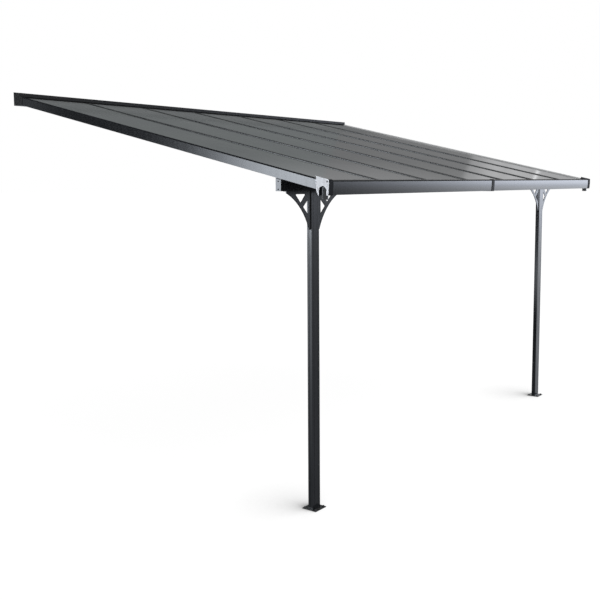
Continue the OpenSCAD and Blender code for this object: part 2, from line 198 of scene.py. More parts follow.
class Nodes:
    """Short calls for the nodes of one tree."""

    def __init__(self, tree):
        self.tree = tree

    def add(self, kind, **settings):
        node = self.tree.nodes.new(kind)
        for key, value in settings.items():
            if key in node.inputs:
                node.inputs[key].default_value = value
            else:
                setattr(node, key, value)
        return node

    def link(self, start, end):
        self.tree.links.new(start, end)
        return start

    def math(self, operation, a, b=0.0, clamp=False):
        node = self.tree.nodes.new("ShaderNodeMath")
        node.operation = operation
        node.use_clamp = clamp
        for socket, value in zip(node.inputs, (a, b)):
            if isinstance(value, (int, float)):
                socket.default_value = value
            else:
                self.tree.links.new(value, socket)
        return node.outputs[0]

    def mix_number(self, factor, a, b):
        return self.math("ADD", a, self.math("MULTIPLY", factor, self.math("SUBTRACT", b, a)))

    def mix_colour(self, factor, a, b):
        node = self.tree.nodes.new("ShaderNodeMix")
        node.data_type = "RGBA"
        for socket, value in ((node.inputs[0], factor), (node.inputs[6], a), (node.inputs[7], b)):
            if isinstance(value, bpy.types.NodeSocket):
                self.tree.links.new(value, socket)
            elif isinstance(value, (int, float)):
                socket.default_value = value
            else:
                socket.default_value = (*value, 1.0)
        return node.outputs[2]

    def ramp(self, value, low, high, out_low=0.0, out_high=1.0, smooth=True):
        node = self.tree.nodes.new("ShaderNodeMapRange")
        node.interpolation_type = "SMOOTHSTEP" if smooth else "LINEAR"
        for key, number in (("From Min", low), ("From Max", high), ("To Min", out_low), ("To Max", out_high)):
            node.inputs[key].default_value = number
        self.tree.links.new(value, node.inputs["Value"])
        return node.outputs["Result"]


def new_group(name, inputs, outputs):
    """A shader node group with named number inputs and named outputs."""
    tree = bpy.data.node_groups.new(name, "ShaderNodeTree")
    for label, value in inputs.items():
        socket = tree.interface.new_socket(label, in_out="INPUT", socket_type="NodeSocketFloat")
        socket.default_value = value
    for label, kind in outputs.items():
        tree.interface.new_socket(label, in_out="OUTPUT", socket_type="NodeSocket" + kind)
    build = Nodes(tree)
    return tree, build, build.add("NodeGroupInput").outputs, build.add("NodeGroupOutput").inputs


def coat_grain_group():
    """The fine orange peel of a sprayed and baked coat, with a fleck that shifts its shade."""
    tree, b, take, give = new_group(
        "coat_grain", {"Peel Size": 0.0015, "Fleck Size": 0.0006}, {"Height": "Float", "Fleck": "Float"})
    place = b.add("ShaderNodeTexCoord").outputs["Object"]
    peel = b.add("ShaderNodeTexNoise", Detail=2.0)
    b.link(place, peel.inputs["Vector"])
    b.link(b.math("DIVIDE", 1.0, take["Peel Size"]), peel.inputs["Scale"])
    fleck = b.add("ShaderNodeTexVoronoi")
    b.link(place, fleck.inputs["Vector"])
    b.link(b.math("DIVIDE", 1.0, take["Fleck Size"]), fleck.inputs["Scale"])
    b.link(peel.outputs[0], give["Height"])
    b.link(fleck.outputs["Distance"], give["Fleck"])
    return tree


def drift_group():
    """Slow drifts of shade along a piece, and the faint marks that wiping and rain leave."""
    tree, b, take, give = new_group(
        "shade_drift", {"Drift Size": 0.5, "Smear Size": 0.03, "Smear Stretch": 8.0},
        {"Drift": "Float", "Smear": "Float"})
    place = b.add("ShaderNodeTexCoord").outputs["Object"]
    drift = b.add("ShaderNodeTexNoise", Detail=3.0)
    b.link(place, drift.inputs["Vector"])
    b.link(b.math("DIVIDE", 1.0, take["Drift Size"]), drift.inputs["Scale"])
    squash = b.add("ShaderNodeCombineXYZ", X=1.0, Y=1.0)
    b.link(b.math("DIVIDE", 1.0, take["Smear Stretch"]), squash.inputs["Z"])
    stretched = b.add("ShaderNodeVectorMath", operation="MULTIPLY")
    b.link(place, stretched.inputs[0])
    b.link(squash.outputs[0], stretched.inputs[1])
    smear = b.add("ShaderNodeTexNoise", Detail=5.0, Roughness=0.6)
    b.link(stretched.outputs[0], smear.inputs["Vector"])
    b.link(b.math("DIVIDE", 1.0, take["Smear Size"]), smear.inputs["Scale"])
    b.link(b.ramp(drift.outputs[0], 0.3, 0.7), give["Drift"])
    b.link(b.ramp(smear.outputs[0], 0.35, 0.75), give["Smear"])
    return tree


def edge_group():
    """Marks the thin line along an edge, where a coat is rubbed and catches the light."""
    tree, b, take, give = new_group("worn_edge", {"Width": 0.001}, {"Edge": "Float"})
    round_off = b.add("ShaderNodeBevel", samples=4)
    b.link(take["Width"], round_off.inputs["Radius"])
    flat = b.add("ShaderNodeNewGeometry")
    turn = b.add("ShaderNodeVectorMath", operation="DOT_PRODUCT")
    b.link(round_off.outputs[0], turn.inputs[0])
    b.link(flat.outputs["Normal"], turn.inputs[1])
    place = b.add("ShaderNodeTexCoord").outputs["Object"]
    patches = b.add("ShaderNodeTexNoise", Scale=60.0, Detail=4.0)
    b.link(place, patches.inputs["Vector"])
    rim = b.ramp(turn.outputs["Value"], 0.99, 0.8)
    b.link(b.math("MULTIPLY", rim, b.ramp(patches.outputs[0], 0.35, 0.65)), give["Edge"])
    return tree


def settle_group():
    """Dust that lies on what faces up, thinner where the rain runs off."""
    tree, b, take, give = new_group("settled_dust", {"Patch Size": 0.08}, {"Dust": "Float"})
    place = b.add("ShaderNodeTexCoord")
    up = b.add("ShaderNodeSeparateXYZ")
    b.link(place.outputs["Normal"], up.inputs[0])
    patches = b.add("ShaderNodeTexNoise", Detail=6.0, Roughness=0.65)
    b.link(place.outputs["Object"], patches.inputs["Vector"])
    b.link(b.math("DIVIDE", 1.0, take["Patch Size"]), patches.inputs["Scale"])
    flat = b.ramp(up.outputs["Z"], 0.5, 1.0)
    b.link(b.math("MULTIPLY", flat, b.ramp(patches.outputs[0], 0.4, 0.75)), give["Dust"])
    return tree


# Y of the panels' lower ends
EAVES_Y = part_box("roof_panel_1")[0][1]

GRAIN = coat_grain_group()
DRIFT = drift_group()
EDGE = edge_group()
DUST = settle_group()


def place_group(build, tree, **values):
    """Puts a group into a material with its own values."""
    node = build.tree.nodes.new("ShaderNodeGroup")
    node.node_tree = tree
    for label, value in values.items():
        node.inputs[label.replace("_", " ")].default_value = value
    return node.outputs


def new_material(name):
    """An empty material, its build calls and its Principled shader's inputs."""
    material = bpy.data.materials.new(name)
    material.use_nodes = True
    tree = material.node_tree
    tree.nodes.clear()
    build = Nodes(tree)
    shader = build.add("ShaderNodeBsdfPrincipled")
    out = build.add("ShaderNodeOutputMaterial")
    build.link(shader.outputs[0], out.inputs["Surface"])
    return material, build, shader.inputs


def coated_metal(name, colour, drift_colour, edge_colour, roughness, gloss=0.35, peel=0.0014,
                 peel_depth=0.000012, edge=0.0008, smear=0.08):
    """A sprayed and baked coat over metal: peel, fleck, drift, rubbed edges and a little dust."""
    material, b, socket = new_material(name)
    grain = place_group(b, GRAIN, Peel_Size=peel, Fleck_Size=peel / 2)
    drift = place_group(b, DRIFT)
    rub = place_group(b, EDGE, Width=edge)
    dust = place_group(b, DUST)
    shade = b.mix_colour(b.math("MULTIPLY", drift["Drift"], 0.6), colour, drift_colour)
    flecked = b.mix_colour(b.math("MULTIPLY", grain["Fleck"], 0.08), shade, edge_colour)
    rubbed = b.mix_colour(b.math("MULTIPLY", rub["Edge"], 0.5), flecked, edge_colour)
    dusty = b.mix_colour(b.math("MULTIPLY", dust["Dust"], 0.12), rubbed, (0.45, 0.44, 0.42))
    b.link(dusty, socket["Base Color"])
    rough = b.math("ADD", b.math("MULTIPLY", drift["Smear"], smear), roughness - smear / 3)
    b.link(b.math("ADD", rough, b.math("MULTIPLY", dust["Dust"], 0.15)), socket["Roughness"])
    bump = b.add("ShaderNodeBump", Strength=0.5, Distance=peel_depth)
    b.link(grain["Height"], bump.inputs["Height"])
    b.link(bump.outputs[0], socket["Normal"])
    socket["Specular IOR Level"].default_value = gloss
    return material


def moulded_plastic(name, colour, pale, roughness, gloss=0.4):
    """A moulded piece: an even fine texture, flow marks and slightly polished edges."""
    material, b, socket = new_material(name)
    grain = place_group(b, GRAIN, Peel_Size=0.0007, Fleck_Size=0.0005)
    drift = place_group(b, DRIFT, Drift_Size=0.06, Smear_Size=0.012, Smear_Stretch=3.0)
    rub = place_group(b, EDGE, Width=0.0006)
    flow = b.mix_colour(b.math("MULTIPLY", drift["Drift"], 0.5), colour, pale)
    b.link(b.mix_colour(b.math("MULTIPLY", rub["Edge"], 0.4), flow, pale), socket["Base Color"])
    b.link(b.math("ADD", b.math("MULTIPLY", drift["Smear"], 0.1), roughness), socket["Roughness"])
    bump = b.add("ShaderNodeBump", Strength=0.4, Distance=0.00003)
    b.link(grain["Height"], bump.inputs["Height"])
    b.link(bump.outputs[0], socket["Normal"])
    socket["Specular IOR Level"].default_value = gloss
    return material


def hollow_sheet(name):
    """Grey tinted multiwall sheet: soft gloss, cloudy drifts of shade and some light through it."""
    material, b, socket = new_material(name)
    drift = place_group(b, DRIFT, Drift_Size=0.45, Smear_Size=0.09, Smear_Stretch=1.0)
    grain = place_group(b, GRAIN, Peel_Size=0.004, Fleck_Size=0.001)
    dust = place_group(b, DUST, Patch_Size=0.25)
    place = b.add("ShaderNodeSeparateXYZ")
    b.link(b.add("ShaderNodeTexCoord").outputs["Object"], place.inputs[0])
    # The sheet is paler towards the eaves and more so to the left, and stays dull where the hood keeps the rain off
    eaves_paling = b.math("MULTIPLY", b.ramp(place.outputs["Y"], EAVES_Y + 0.85, EAVES_Y),
                  b.ramp(place.outputs["X"], 0.3, -1.4, 0.2, 1.0))
    sheltered = b.ramp(place.outputs["Y"], -0.9, -0.2)
    tint = b.mix_colour(drift["Drift"], (0.062, 0.067, 0.071), (0.075, 0.083, 0.082))
    paled_tint = b.mix_colour(b.math("MULTIPLY", eaves_paling, 0.7), tint, (0.27, 0.275, 0.28))
    dusty = b.mix_colour(b.math("MULTIPLY", sheltered, 0.5), paled_tint, (0.12, 0.128, 0.131))
    b.link(b.mix_colour(b.math("MULTIPLY", dust["Dust"], 0.04), dusty, (0.5, 0.49, 0.46)), socket["Base Color"])
    rough = b.math("ADD", b.math("MULTIPLY", drift["Smear"], 0.03), 0.06)
    b.link(b.math("ADD", rough, b.math("MULTIPLY", sheltered, 0.4)), socket["Roughness"])
    bump = b.add("ShaderNodeBump", Strength=0.1, Distance=0.00001)
    b.link(grain["Height"], bump.inputs["Height"])
    b.link(bump.outputs[0], socket["Normal"])
    socket["IOR"].default_value = 1.58
    socket["Specular IOR Level"].default_value = 0.35
    socket["Transmission Weight"].default_value = 0.08
    return material


def plate_with_painted_reflection(name, face, reflection_drift, body, roughness, gloss=0.4, side=1):
    """A black plate whose one face carries a painted reflection, a light colour that stands in for the light it
    mirrors:
    the outer one, which looks away from the middle of X, or with side -1 the inner one."""
    material, b, socket = new_material(name)
    grain = place_group(b, GRAIN, Peel_Size=0.002, Fleck_Size=0.001)
    drift = place_group(b, DRIFT, Drift_Size=0.08, Smear_Size=0.02, Smear_Stretch=2.0)
    rub = place_group(b, EDGE, Width=0.0006)
    where = b.add("ShaderNodeTexCoord")
    spot, towards = b.add("ShaderNodeSeparateXYZ"), b.add("ShaderNodeSeparateXYZ")
    b.link(where.outputs["Object"], spot.inputs[0])
    b.link(where.outputs["Normal"], towards.inputs[0])
    # The face that looks the chosen way takes the light colour: a painted reflection of the light that it mirrors
    outer = b.math("MULTIPLY", spot.outputs["X"], b.math("MULTIPLY", towards.outputs["X"], side))
    outer = b.math("GREATER_THAN", outer, 0.3)
    # coat is the colour of that painted reflection, with its edges rubbed to the black body
    coat = b.mix_colour(b.math("MULTIPLY", drift["Drift"], 0.6), face, reflection_drift)
    coat = b.mix_colour(b.math("MULTIPLY", rub["Edge"], 0.5), coat, body)
    b.link(b.mix_colour(outer, body, coat), socket["Base Color"])
    b.link(b.math("ADD", b.math("MULTIPLY", drift["Smear"], 0.08), roughness), socket["Roughness"])
    bump = b.add("ShaderNodeBump", Strength=0.3, Distance=0.000005)
    b.link(grain["Height"], bump.inputs["Height"])
    b.link(bump.outputs[0], socket["Normal"])
    socket["Specular IOR Level"].default_value = gloss
    return material


def plated_steel(name, colour, dull, roughness):
    """Zinc-plated steel of screws and washers, cloudy and a little dulled."""
    material, b, socket = new_material(name)
    drift = place_group(b, DRIFT, Drift_Size=0.006, Smear_Size=0.002, Smear_Stretch=1.0)
    rub = place_group(b, EDGE, Width=0.0003)
    cloudy = b.mix_colour(drift["Drift"], colour, dull)
    b.link(b.mix_colour(rub["Edge"], cloudy, colour), socket["Base Color"])
    b.link(b.math("ADD", b.math("MULTIPLY", drift["Smear"], 0.2), roughness), socket["Roughness"])
    socket["Metallic"].default_value = 1.0
    return material


ANTHRACITE = coated_metal("anthracite_coat", (0.0095, 0.0105, 0.0125), (0.012, 0.0135, 0.016),
                          (0.05, 0.053, 0.06), 0.13, gloss=0.5, peel=0.003, peel_depth=0.000004, smear=0.03)
BEAM_COAT = coated_metal("wall_beam_coat", (0.008, 0.0085, 0.009), (0.010, 0.011, 0.012),
                         (0.04, 0.042, 0.046), 0.42, gloss=0.2)
# The trims are black, with their inner face painted grey: a painted reflection of the light that this face catches at a
# grazing angle
TRIM_PAINTED_REFLECTION = plate_with_painted_reflection("painted_reflection_trim_finish", (0.36, 0.365, 0.37), (0.42, 0.425, 0.43), (0.009, 0.010, 0.012), 0.5,
                        gloss=0.05, side=-1)
STRIP_COAT = coated_metal("dark_strip_coat", (0.012, 0.0135, 0.015), (0.016, 0.0175, 0.019),
                          (0.03, 0.032, 0.038), 0.2, gloss=0.5, smear=0.04)
BRACKET_COAT = coated_metal("cast_bracket_coat", (0.0095, 0.0105, 0.012), (0.012, 0.0135, 0.015),
                            (0.04, 0.043, 0.047), 0.2, gloss=0.36, peel=0.0026, peel_depth=0.00004, edge=0.0015)
# The plates that close the gutter are black, with their outer face painted light: a painted reflection of the bright
# light beside them
PLATE_PAINTED_REFLECTION = plate_with_painted_reflection("painted_reflection_plate_finish", (0.66, 0.68, 0.72), (0.70, 0.72, 0.76), (0.012, 0.0125, 0.014), 0.22)
BLACK_MOULDING = moulded_plastic("black_moulding", (0.008, 0.009, 0.011), (0.016, 0.0175, 0.02), 0.42, gloss=0.2)
HEAD_MOULDING = moulded_plastic("gutter_head_moulding", (0.008, 0.009, 0.011), (0.014, 0.0155, 0.018), 0.6, gloss=0.08)
SPOUT_MOULDING = moulded_plastic("smooth_spout_moulding", (0.012, 0.013, 0.016), (0.02, 0.0215, 0.025), 0.24, gloss=0.5)
CAP_MOULDING = moulded_plastic("matt_cap_moulding", (0.010, 0.0105, 0.011), (0.016, 0.017, 0.018), 0.5, gloss=0.12)
SEAL_RUBBER = moulded_plastic("seal_rubber", (0.006, 0.006, 0.007), (0.010, 0.010, 0.011), 0.7, gloss=0.05)
EDGE_MOULDING = moulded_plastic("grey_sheet_edging", (0.12, 0.125, 0.13), (0.16, 0.165, 0.172), 0.25, gloss=0.4)
SHEET = hollow_sheet("grey_hollow_sheet")
SCREW_STEEL = plated_steel("blackened_screws", (0.035, 0.035, 0.038), (0.02, 0.02, 0.022), 0.4)
ANCHOR_STEEL = plated_steel("dulled_anchors", (0.10, 0.10, 0.105), (0.05, 0.05, 0.055), 0.4)

FINISHES = {
    "frame": ANTHRACITE, "trim": TRIM_PAINTED_REFLECTION, "joiner": BLACK_MOULDING, "bracket": BRACKET_COAT,
    "end_pieces": BLACK_MOULDING, "end_plate": PLATE_PAINTED_REFLECTION, "panel": SHEET,
}
# Nodes whose finish differs from the rest of their slot
OWN_FINISHES = {"wall_beam": BEAM_COAT, "wall_cap_left": CAP_MOULDING, "wall_cap_right": CAP_MOULDING,
                "gutter_joiner": CAP_MOULDING, "gutter_head_left": HEAD_MOULDING,
                "gutter_head_right": HEAD_MOULDING}
OWN_FINISHES.update(("rafter_cap_%d" % i, STRIP_COAT) for i in range(1, 7))


def paint(piece, material):
    """Gives a piece one finish."""
    piece.data.materials.clear()
    piece.data.materials.append(material)
    return piece


def softened(node, slot, width=0.6 * MM):
    """A copy of a node whose sharp edges are rounded by the width that a coat leaves."""
    piece = mesh_piece(node + "_coated", *node_mesh(node), crease=30)
    bevel = piece.modifiers.new("edges", "BEVEL")
    bevel.width = width
    bevel.segments = 2
    bevel.limit_method = "ANGLE"
    bevel.angle_limit = radians(40)
    bevel.use_clamp_overlap = True
    bevel.harden_normals = True
    return add_piece(paint(piece, frame["nodes"][node].data.materials[0]), slot, node)


def finish_nodes():
    """Every node of the frame gets the finish of its slot."""
    for part in frame["record"]["subparts"]:
        name = part["node"]
        paint(frame["nodes"][name], OWN_FINISHES.get(name, FINISHES[part["material_slot"]]))
    for side in ("left", "right"):
        for start in ("side_beam_", "post_", "foot_plate_"):
            softened(start + side, "frame")


# Roof

PANELS = sorted(n for n in frame["nodes"] if n.startswith("roof_panel"))
CELLS = 90
SKIN_T = 0.45 * MM


def on_slope(x, n, d, low):
    """A point n over the panel's underside, at distance d from the wall; low is a point of it."""
    return np.stack([x, -d, low[1] + (low[0] - d) * tan(ROOF_SLOPE) + n / cos(ROOF_SLOPE)], axis=-1)


def hollow_panel(node):
    """A multiwall sheet. Its section is a grid of lines in x and n, filled in the two skins and in
    the webs between the cells; each filled square's sides that border an empty one become walls
    that run down the slope, and the filled squares close both ends."""
    low, high = box(node)
    near, far = -high[1], -low[1]
    under = (far, low[2])
    edges = np.linspace(low[0], high[0], CELLS + 1)
    xs = np.sort(np.concatenate([edges[:-1], edges[:-1] + SKIN_T, edges[-1:] - SKIN_T, edges[-1:]]))
    xs = np.unique(np.round(xs, 7))
    ns = np.array([0, SKIN_T, PANEL_T - SKIN_T, PANEL_T])
    filled = np.zeros((len(xs) - 1, len(ns) - 1), bool)
    filled[:, 0] = filled[:, 2] = True
    filled[:, 1] = np.diff(xs) < SKIN_T * 1.5
    gx, gn = np.meshgrid(xs, ns, indexing="ij")
    ends = [on_slope(gx, gn, np.full_like(gx, d), under).reshape(-1, 3) for d in (near, far)]
    pts = np.concatenate(ends)
    size = gx.size
    index = np.arange(size).reshape(gx.shape)
    a, b, c, d = index[:-1, :-1], index[1:, :-1], index[1:, 1:], index[:-1, 1:]
    near_end = np.stack([a, b, c, d], axis=-1)[filled]
    far_end = near_end[:, ::-1] + size
    pad = np.pad(filled, 1)
    left = filled & ~pad[:-2, 1:-1]
    right = filled & ~pad[2:, 1:-1]
    below = filled & ~pad[1:-1, :-2]
    above = filled & ~pad[1:-1, 2:]
    walls = []
    for mask, p, q in ((left, d, a), (right, b, c), (below, a, b), (above, c, d)):
        walls.append(np.column_stack([q[mask], p[mask], p[mask] + size, q[mask] + size]))
    faces = np.concatenate([near_end[:, ::-1], far_end[:, ::-1], *walls])
    piece = mesh_piece(node.replace("roof_panel", "hollow_sheet"), pts, faces)
    return add_piece(paint(piece, SHEET), "panel", node)


def between_strips():
    """The stretches of X that lie between the capping strips, with a little room."""
    caps = [box("rafter_cap_%d" % i) for i in range(1, len(PANELS))]
    panels = [box(panel) for panel in PANELS]
    starts = [panels[0][0][0]] + [high[0] + 0.5 * MM for low, high in caps]
    ends = [low[0] - 0.5 * MM for low, high in caps] + [panels[-1][1][0]]
    return list(zip(starts, ends))


def roof_height(d, n):
    """Height of a point n over the rafters' underside, at distance d from the wall."""
    low, high = box("roof_panel_1")
    return low[2] + (-low[1] - d) * tan(ROOF_SLOPE) + (n - RAFTER_H) / cos(ROOF_SLOPE)


def sloped_strip(name, outline, stretches, finish, slot):
    """One mesh of strips along X, one for each stretch. The outline is (distance, n) on the slope."""
    side = np.array([[d, roof_height(d, n)] for d, n in outline])
    pts, faces = [], []
    for start, end in stretches:
        ring, quads = run_outline(side, (start, end), along_x)
        faces += [[v + len(np.concatenate(pts)) if pts else v for v in f] for f in quads]
        pts.append(ring)
    return add_piece(paint(mesh_piece(name, np.concatenate(pts), faces), finish), slot)


def build_roof_details():
    """Strips that close the sheets' lower ends, a rubber lip under the hood, and end plugs."""
    stretches = between_strips()
    end = -EAVES_Y
    under, over, wrap = RAFTER_H, RAFTER_H + PANEL_T, 1.2 * MM
    clip = [(end - 14 * MM, over), (end - 14 * MM, over + wrap), (end + wrap, over + wrap),
            (end + wrap, under - wrap), (end - 10 * MM, under - wrap), (end - 10 * MM, under),
            (end, under), (end, over)]
    sloped_strip("eaves_strips", clip, stretches, EDGE_MOULDING, "panel")
    front = -box("wall_beam")[0][1]
    gap = 10.2 * MM
    lip = [(front - 6 * MM, over + gap), (front - 2 * MM, over + gap), (front - 1.5 * MM, over + gap * 0.4),
           (front + 1.5 * MM, over), (front - 1 * MM, over), (front - 5 * MM, over + gap * 0.4)]
    sloped_strip("hood_seals", lip[::-1], stretches, SEAL_RUBBER, "joiner")
    plug_d = end - 1 * MM
    plug = np.array([[-0.5, 0], [0.5, 0], [0.5, CAP_HEIGHT / CAP_WIDTH / 3], [0.31, 1], [-0.31, 1],
                     [-0.5, CAP_HEIGHT / CAP_WIDTH / 3]]) * (CAP_WIDTH - 2 * CAP_WALL, CAP_HEIGHT - CAP_WALL)
    pts, faces = [], []
    for i in range(1, len(PANELS)):
        low, high = box("rafter_cap_%d" % i)
        middle = (low[0] + high[0]) / 2

        def stand(outline, d):
            n = RAFTER_H + PANEL_T + outline[:, 1]
            return np.column_stack([middle + outline[:, 0], np.full(len(outline), -d), roof_height(d, n)])

        ring, quads = run_outline(plug, (plug_d, plug_d - 3 * MM), stand)
        faces += [[v + len(pts) * len(ring) for v in f] for f in quads]
        pts.append(ring)
    add_piece(paint(mesh_piece("strip_end_plugs", np.concatenate(pts), faces), BLACK_MOULDING), "end_pieces")


# Gutter


def gutter_outline(node, grow=0.0):
    """The outside of the gutter from the top of its back wall, down, along the floor, up the long
    arc of its front and over the rounded edge, moved outwards by grow."""
    low, high = box(node)
    back, front, floor, top = -high[1], -low[1], low[2], high[2]
    rise = top - GUTTER_EDGE_R - floor
    long_r = (rise * rise / GUTTER_BELLY + GUTTER_BELLY) / 2
    foot = -np.degrees(np.arcsin(rise / long_r))
    long_arc = arc((front - long_r, top - GUTTER_EDGE_R), long_r + grow, foot, 0, 16)
    edge = arc((front - GUTTER_EDGE_R, top - GUTTER_EDGE_R), GUTTER_EDGE_R + grow, 0, 90, 10)
    heel = np.array([[back, floor + GUTTER_CHAMFER], [back + GUTTER_CHAMFER, floor - grow]])
    return heel, long_arc, edge[1:]


def gutter_length(node):
    """One length of the gutter: an open section of even wall with a rolled lip, along X."""
    low, high = box(node)
    back, floor, top = -high[1], low[2], high[2]
    wall_top = top - BACK_WALL_DROP
    heel, long_arc, edge = gutter_outline(node)
    inner_heel, inner_arc, inner_edge = gutter_outline(node, -GUTTER_WALL)
    inner_heel = inner_heel + [[GUTTER_WALL, GUTTER_WALL * 0.4], [GUTTER_WALL * 0.4, 0]]
    inner_heel[1, 1] = floor + GUTTER_WALL
    inner_arc = inner_arc[inner_arc[:, 1] > floor + GUTTER_WALL]
    lip_end = edge[-1, 0] - GUTTER_LIP
    bead = arc((lip_end, top - GUTTER_WALL), GUTTER_WALL, 90, 270, 6)
    bead[:, 1] = np.clip(bead[:, 1], top - 2 * GUTTER_WALL, top)
    outline = np.concatenate([
        [[back, wall_top]], heel, long_arc, edge, bead,
        [[edge[-1, 0], top - 1.6 * GUTTER_WALL]], inner_edge[::-1][1:], inner_arc[::-1],
        inner_heel[::-1], [[back + GUTTER_WALL, wall_top]]])
    pts, faces = run_outline(outline, (low[0], high[0]), along_x)
    return mesh_piece(node + "_run", pts, faces)


def head_with_spout(node):
    """A head of the gutter as moulded in one: its grained body, and in the arch and below it a
    smooth pipe, which is every upright face nearer to the spout's axis than SPOUT_REACH."""
    pts, faces = node_mesh(node)
    low, high = pts.min(axis=0), pts.max(axis=0)
    foot = pts[pts[:, 2] < low[2] + 2 * MM]
    axis = (foot.min(axis=0) + foot.max(axis=0))[:2] / 2
    a, b, c = (pts[faces[:, k]] for k in range(3))
    normal = np.cross(b - a, c - a)
    upright = np.abs(normal[:, 2]) < 0.2 * np.linalg.norm(normal, axis=1)
    off = np.linalg.norm((a + b + c)[:, :2] / 3 - axis, axis=1)
    piece = mesh_piece(node + "_moulded", pts, faces, crease=30)
    paint(piece, HEAD_MOULDING).data.materials.append(SPOUT_MOULDING)
    piece.data.polygons.foreach_set("material_index", (upright & (off < SPOUT_REACH)).astype(np.int32))
    return add_piece(piece, "end_pieces", node)


def build_gutter():
    """Both lengths of the gutter and their heads."""
    for side in ("left", "right"):
        add_piece(paint(gutter_length("gutter_" + side), ANTHRACITE), "frame", "gutter_" + side)
        head_with_spout("gutter_head_" + side)


# Screws


def pan_head(radius, height, socket_r=0.0):
    """A screw's head: a low dome with a round rim and a sunk hexagon-like socket."""
    dome = np.column_stack([radius * np.cos(np.radians([0, 25, 50, 68])),
                            height * np.sin(np.radians([0, 38, 66, 84]))])
    rim = np.array([[radius, -0.3 * MM], [radius, 0]])
    well = np.array([[socket_r, height], [socket_r, height * 0.45], [socket_r * 0.2, height * 0.35]])
    return turn_from_axis(np.concatenate([rim[:1], dome, well]), 12)


def hex_bolt(radius, height, washer_r, washer_h):
    """A hexagon head with a bevelled top over a washer."""
    a = np.linspace(0, 2 * pi, 24, endpoint=False)
    flat = 1 / np.cos((a + pi / 6) % (pi / 3) - pi / 6)
    washer = turn_from_axis(np.array([[washer_r, 0], [washer_r, washer_h * 0.7],
                                      [washer_r - 0.4 * MM, washer_h], [radius, washer_h]]), 24)
    rings = [(1.0, washer_h), (1.0, washer_h + height * 0.8), (0.9, washer_h + height)]
    pts = np.concatenate([np.column_stack([radius * s * np.minimum(flat, 1.155 / max(s, 0.95)) * np.cos(a),
                                           radius * s * np.minimum(flat, 1.155 / max(s, 0.95)) * np.sin(a),
                                           np.full(24, h)]) for s, h in rings])
    i = np.arange(24)
    faces = []
    for k in range(2):
        faces += np.column_stack([k * 24 + i, k * 24 + (i + 1) % 24, (k + 1) * 24 + (i + 1) % 24,
                                  (k + 1) * 24 + i]).tolist()
    faces += [i[::-1].tolist(), (48 + i).tolist()]
    wpts, wfaces = washer
    return (np.concatenate([wpts, pts]), wfaces + [[v + len(wpts) for v in f] for f in faces])


def build_anchors():
    """Four anchors through each foot plate."""
    for side in ("left", "right"):
        low, high = box("foot_plate_" + side)
        middle = (low + high) / 2
        top = low[2] + 5 * MM
        places = [facing((middle[0] + x * 42 * MM, middle[1] + y * 42 * MM, top), (0, 0, 1), 0.3 * x + 0.7 * y)
                  for x in (-1, 1) for y in (-1, 1)]
        pts, faces = scatter_form(hex_bolt(6.5 * MM, 5.5 * MM, 9 * MM, 1.6 * MM), places)
        piece = mesh_piece("foot_anchors_" + side, pts, faces)
        add_piece(paint(piece, ANCHOR_STEEL), "bracket")


def sheet_plate(node, outward, slot):
    """A node whose outer face, at X = outward * half the width, is moved in by SHEET_INSET."""
    pts, faces = node_mesh(node)
    face_x = pts[:, 0].max() if outward > 0 else pts[:, 0].min()
    pts[np.abs(pts[:, 0] - face_x) < 0.1 * MM, 0] -= outward * SHEET_INSET
    part = mesh_piece(node + "_sheet", pts, faces, crease=30)
    return add_piece(paint(part, frame["nodes"][node].data.materials[0]), slot, node)


def build_plate_screws():
    """Two screws in each end plate of the front beam, one in each plate that closes the gutter and
    one in each cap of the wall beam, on plates as thin as the sheet that they are cut from."""
    for side, s in (("left", -1), ("right", 1)):
        plates = {"beam_plate_": "frame", "gutter_plate_": "end_plate", "wall_cap_": "end_pieces"}
        for start, slot in plates.items():
            sheet_plate(start + side, s, slot)
        low, high = box("beam_plate_" + side)
        x = (low[0] if s < 0 else high[0]) - s * SHEET_INSET
        mid_y = (low[1] + high[1]) / 2
        places = [facing((x, mid_y, low[2] + 11 * MM), (s, 0, 0)),
                  facing((x, mid_y, high[2] - 17 * MM), (s, 0, 0), 0.4)]
        low, high = box("gutter_plate_" + side)
        places.append(facing((x, low[1] + 12 * MM, high[2] - 32 * MM), (s, 0, 0), 0.9))
        low, high = box("wall_cap_" + side)
        places.append(facing((x, high[1] - 38 * MM, (low[2] + high[2]) / 2), (s, 0, 0), 0.2))
        pts, faces = scatter_form(pan_head(4.5 * MM, SHEET_INSET * 0.98, 2 * MM), places)
        piece = mesh_piece("plate_screws_" + side, pts, faces)
        add_piece(paint(piece, SCREW_STEEL), "bracket")


def build_bracket_screws():
    """Two screws through each flange of each corner bracket, behind its web."""
    for side in ("left", "right"):
        post_low, post_high = box("post_" + side)
        for place in ("outer", "inner"):
            low, high = box("bracket_%s_%s" % (side, place))
            to_post = 1 if low[0] < post_low[0] - 1 * MM else -1
            corner_x = high[0] if to_post > 0 else low[0]
            y = high[1] - 9 * MM
            places = [facing((corner_x - to_post * along, y, high[2] - 3 * MM), (0, 0, -1), along * 9)
                      for along in (0.07, 0.175)]
            places += [facing((corner_x - to_post * 3 * MM, y, high[2] - down), (-to_post, 0, 0), down * 7)
                       for down in (0.07, 0.175)]
            pts, faces = scatter_form(pan_head(4.5 * MM, 2.6 * MM, 2 * MM), places)
            piece = mesh_piece("bracket_screws_%s_%s" % (side, place), pts, faces)
            add_piece(paint(piece, SCREW_STEEL), "bracket")


# Light, floor and camera

EYE = (-6.0316, -5.8143, -0.6131)


def glossy_only(piece):
    """A card that only reflections see."""
    for kind in ("camera", "diffuse", "transmission", "volume_scatter", "shadow"):
        setattr(piece, "visible_" + kind, False)


CARD_R = 30.0
RING_CENTRE_Y = -1.5
# The camera mirrored in the plane of the gutter's and posts' fronts, and in that of the side beam's
# and posts' left sides: from there, a spot is seen in the direction in which those faces reflect it
IN_FRONT = (EYE[0], 2 * -2.75 - EYE[1])
IN_SIDE = (2 * -2.0 - EYE[0], EYE[1])
